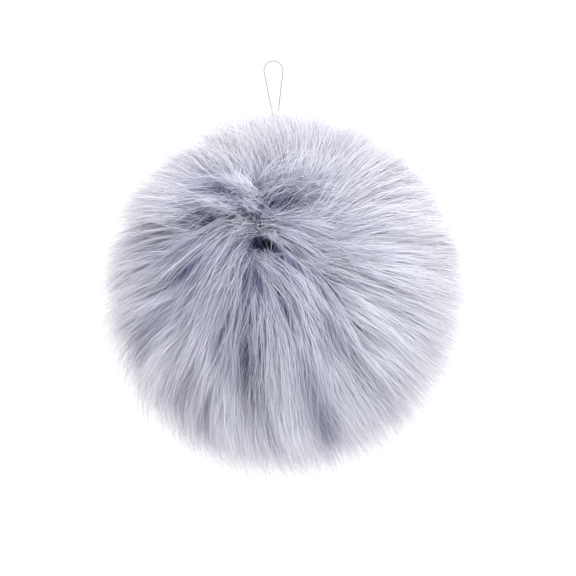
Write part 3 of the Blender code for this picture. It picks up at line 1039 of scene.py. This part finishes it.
def fibre_material(pile):
    """Acrylic fibre, dark at the root, partly as a painted shade of the deep pile, and pale at the tip, each
    fibre a little lighter or darker.
    """
    material, tree, shader = new_material("acrylic_pile")
    place = tree.nodes.new("ShaderNodeUVMap")
    place.uv_map = "OFBake"
    parts = tree.nodes.new("ShaderNodeSeparateXYZ")
    tree.links.new(place.outputs["UV"], parts.inputs["Vector"])
    stops = ((0.0, pile.root_colour), (BODY_SHADE, pile.body_colour), (TIP_SHADE, pile.tip_colour))
    run = ramp(tree, stops)
    tree.links.new(parts.outputs["Y"], run.inputs["Fac"])
    tone = ramp(tree, TONE_STOPS)
    tree.links.new(parts.outputs["X"], tone.inputs["Fac"])
    mix = tree.nodes.new("ShaderNodeMix")
    mix.data_type = "RGBA"
    mix.blend_type = "MULTIPLY"
    mix.inputs["Factor"].default_value = 1.0
    tree.links.new(run.outputs["Color"], mix.inputs["A"])
    tree.links.new(tone.outputs["Color"], mix.inputs["B"])
    tree.links.new(mix.outputs["Result"], shader.inputs["Base Color"])
    shader.inputs["Roughness"].default_value = 0.5
    shader.inputs["Specular IOR Level"].default_value = 0.4
    return material


def underfur_material(underfur):
    """Short dense wool, matt and mottled, its dark colour partly a painted shade of the deep pile."""
    material, tree, shader = new_material("dense_underfur")
    dark = tuple(FLECK * channel for channel in underfur.colour)
    wool = mottled(tree, shader, WOOL_SCALE, ((0.3, dark), (0.7, tuple(underfur.colour))))
    wool.inputs["Detail"].default_value = 4.0
    bump = tree.nodes.new("ShaderNodeBump")
    bump.inputs["Strength"].default_value = 0.8
    bump.inputs["Distance"].default_value = 0.0006
    tree.links.new(wool.outputs["Fac"], bump.inputs["Height"])
    tree.links.new(bump.outputs["Normal"], shader.inputs["Normal"])
    shader.inputs["Roughness"].default_value = 0.95
    return material


def nylon_material(thread):
    """Pale glossy nylon line, faintly cloudy along its length."""
    material, tree, shader = new_material("clear_nylon_line")
    pale = tuple(min(1.0, CLOUD * channel) for channel in thread.colour)
    mottled(tree, shader, CLOUD_SCALE, ((0.35, tuple(thread.colour)), (0.65, pale)))
    shader.inputs["Roughness"].default_value = 0.2
    shader.inputs["IOR"].default_value = 1.53
    return material


def stage_material():
    """A plain pale matt floor."""
    material, _, shader = new_material("pale_floor")
    shader.inputs["Base Color"].default_value = (0.92, 0.92, 0.93, 1.0)
    shader.inputs["Roughness"].default_value = 0.9
    return material


# --- operators ------------------------------------------------------------------------------------------


def add_piece(name, data):
    """A new object in the scene from its data."""
    piece = bpy.data.objects.new(name, data)
    bpy.context.scene.collection.objects.link(piece)
    return piece


def add_pile(name, table, grown, material):
    """A piece of the pile: one mesh of joined blades."""
    mesh = blade_mesh(name, table, grown)
    mesh.materials.append(material)
    piece = add_piece(name, mesh)
    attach(piece, BODY)


class POMPOM_OT_camera(bpy.types.Operator):
    """Stand the camera level with the ball, in front of it"""

    bl_idname = "pompom.camera"
    bl_label = "Place Camera"

    def execute(self, context):
        lens = bpy.data.cameras.new("camera")
        lens.sensor_width = SENSOR_WIDTH
        lens.lens = lens.sensor_width * VIEW_DISTANCE / VIEW_WIDTH
        camera = add_piece("camera", lens)
        camera.location = Vector(VIEW_TARGET) - Vector((0.0, VIEW_DISTANCE, 0.0))
        camera.rotation_euler = (math.radians(90.0), 0.0, 0.0)
        context.scene.camera = camera
        return {"FINISHED"}


class POMPOM_OT_thread(bpy.types.Operator):
    """Run the nylon loop up from the backing, over its top and down again"""

    bl_idname = "pompom.thread"
    bl_label = "Add Hanging Thread"

    def execute(self, context):
        settings = context.scene.pompom_thread
        points = smooth_route(LOOP_ROUTE)
        curve = bpy.data.curves.new("nylon_loop", "CURVE")
        curve.dimensions = "3D"
        curve.bevel_depth = settings.diameter / 2.0
        curve.bevel_resolution = 4
        curve.use_fill_caps = True
        spline = curve.splines.new("POLY")
        spline.points.add(len(points) - 1)
        for knot, place in zip(spline.points, points):
            knot.co = (*place, 1.0)
        spline.use_smooth = True
        curve.materials.append(nylon_material(settings))
        loop = add_piece("nylon_loop", curve)
        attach(loop, BODY)
        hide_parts("hanging_thread")
        return {"FINISHED"}


class POMPOM_OT_underfur(bpy.types.Operator):
    """Close the ball with dense short wool under the pile"""

    bl_idname = "pompom.underfur"
    bl_label = "Add Underfur"

    def execute(self, context):
        settings = context.scene.pompom_underfur
        bpy.ops.mesh.primitive_ico_sphere_add(subdivisions=5, radius=settings.radius, location=BALL_CENTRE)
        ball = context.active_object
        ball.name = "underfur_ball"
        ball.data.materials.append(underfur_material(settings))
        ball.data.shade_smooth()
        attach(ball, BODY)
        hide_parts("fur_ball")
        return {"FINISHED"}


class POMPOM_OT_pile(bpy.types.Operator):
    """Grow the combed pile on each side of the ball, the laid tufts and the loose wisps"""

    bl_idname = "pompom.pile"
    bl_label = "Grow Pile"

    def execute(self, context):
        pile = context.scene.pompom_pile
        material = fibre_material(pile)
        grown = grow_fibres(pile)
        facings = np.array([side["facing"] for side in SIDES], float)
        nearest = np.argmax((grown.lines[:, 0] - BALL_CENTRE) @ facings.T, axis=1)
        for number, side in enumerate(SIDES):
            own = Grown(*(values[nearest == number] for values in grown))
            add_pile(side["name"], BLADE_RINGS, own, material)
        add_pile("laid_tufts", LAID_RINGS, lay_tufts(pile), material)
        add_pile("seam_wisps", BLADE_RINGS, tangle_wisps(pile), material)
        return {"FINISHED"}


class POMPOM_OT_stage(bpy.types.Operator):
    """Lay the pale floor and light the ball softly"""

    bl_idname = "pompom.stage"
    bl_label = "Set Stage"

    def execute(self, context):
        settings = context.scene.pompom_stage
        height = CAD_BOX[0][2] - settings.floor_drop
        bpy.ops.mesh.primitive_plane_add(size=FLOOR_SIZE, location=(0.0, 0.0, height))
        floor = context.active_object
        floor.name = "floor"
        floor.data.materials.append(stage_material())
        world = bpy.data.worlds.new("even_white")
        world.use_nodes = True
        sky = world.node_tree.nodes["Background"]
        sky.inputs["Color"].default_value = (1.0, 1.0, 1.0, 1.0)
        sky.inputs["Strength"].default_value = settings.sky
        context.scene.world = world
        lamp = bpy.data.lights.new("key", "AREA")
        lamp.energy = settings.key
        lamp.size = KEY_SIZE
        key = add_piece("key", lamp)
        key.location = KEY_PLACE
        aim = Vector(BALL_CENTRE) - key.location
        key.rotation_euler = aim.to_track_quat("-Z", "Y").to_euler()
        context.scene.view_settings.view_transform = "Standard"
        return {"FINISHED"}


STEPS = (POMPOM_OT_camera, POMPOM_OT_thread, POMPOM_OT_underfur, POMPOM_OT_pile, POMPOM_OT_stage)


class POMPOM_PT_steps(bpy.types.Panel):
    """The pom pom's steps and sizes"""

    bl_idname = "POMPOM_PT_steps"
    bl_label = "Pom Pom"
    bl_space_type = "VIEW_3D"
    bl_region_type = "UI"
    bl_category = "Pom Pom"

    def draw(self, context):
        for step in STEPS:
            self.layout.operator(step.bl_idname)
        for group in GROUPS:
            settings = getattr(context.scene, group)
            for name in GROUPS[group].__annotations__:
                self.layout.prop(settings, name)


GROUPS = {
    "pompom_pile": PomPomPileSettings,
    "pompom_underfur": PomPomUnderfurSettings,
    "pompom_thread": PomPomThreadSettings,
    "pompom_stage": PomPomStageSettings,
}
CLASSES = (*GROUPS.values(), *STEPS, POMPOM_PT_steps)


def register():
    """Register the classes and hang the settings on the scene."""
    for cls in CLASSES:
        bpy.utils.register_class(cls)
    for name, group in GROUPS.items():
        setattr(bpy.types.Scene, name, PointerProperty(type=group))


def unregister():
    """Take the settings and the classes away again."""
    for name in GROUPS:
        delattr(bpy.types.Scene, name)
    for cls in reversed(CLASSES):
        bpy.utils.unregister_class(cls)


def main():
    """Make the camera, the pieces and the stage."""
    register()
    bpy.ops.pompom.camera()
    bpy.ops.pompom.thread()
    bpy.ops.pompom.underfur()
    bpy.ops.pompom.pile()
    bpy.ops.pompom.stage()
    bpy.context.view_layer.update()


if __name__ == "__main__":
    main()
